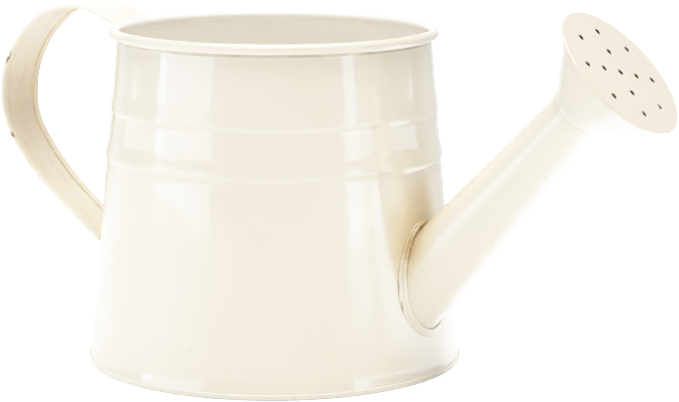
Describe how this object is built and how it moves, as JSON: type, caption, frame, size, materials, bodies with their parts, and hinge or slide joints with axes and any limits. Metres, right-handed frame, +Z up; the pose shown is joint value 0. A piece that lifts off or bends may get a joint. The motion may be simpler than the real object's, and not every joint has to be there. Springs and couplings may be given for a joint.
{
  "type": "watering can",
  "caption": "Tapered sheet-metal watering can with a wired rim, beaded wall, seamed base, long conical spout with a push-on perforated rose, and a hemmed strap handle.",
  "frame": {"origin": "centre of the round base, on the surface the can stands on", "axes": "+Z up along the can's axis, +X towards the spout and rose, -X towards the handle"},
  "size_m": [0.3219, 0.1606, 0.1564],
  "materials": {
    "cream_enamel": "gloss",
    "handle_enamel": "gloss",
    "steel_wire": "satin",
    "bare_steel": "satin",
    "solder": "dull"
  },
  "bodies": {
    "can": {"body_wall": "cream_enamel", "rim_wire": "steel_wire", "base_pan": "cream_enamel", "base_solder": "solder", "spout_tube": "cream_enamel", "spout_solder": "cream_enamel", "handle_strap": "handle_enamel", "handle_top_solder": "cream_enamel", "handle_foot_solder": "cream_enamel"},
    "rose": {"rose_cone": "cream_enamel", "rose_face": "cream_enamel", "rose_sleeve": "bare_steel", "rose_solder": "solder"}
  },
  "joints": [
    {"name": "rose_pull", "type": "slide", "parent": "can", "child": "rose", "axis": [0.6698, 0, 0.7426], "range_m": [0, 0.03]}
  ]
}
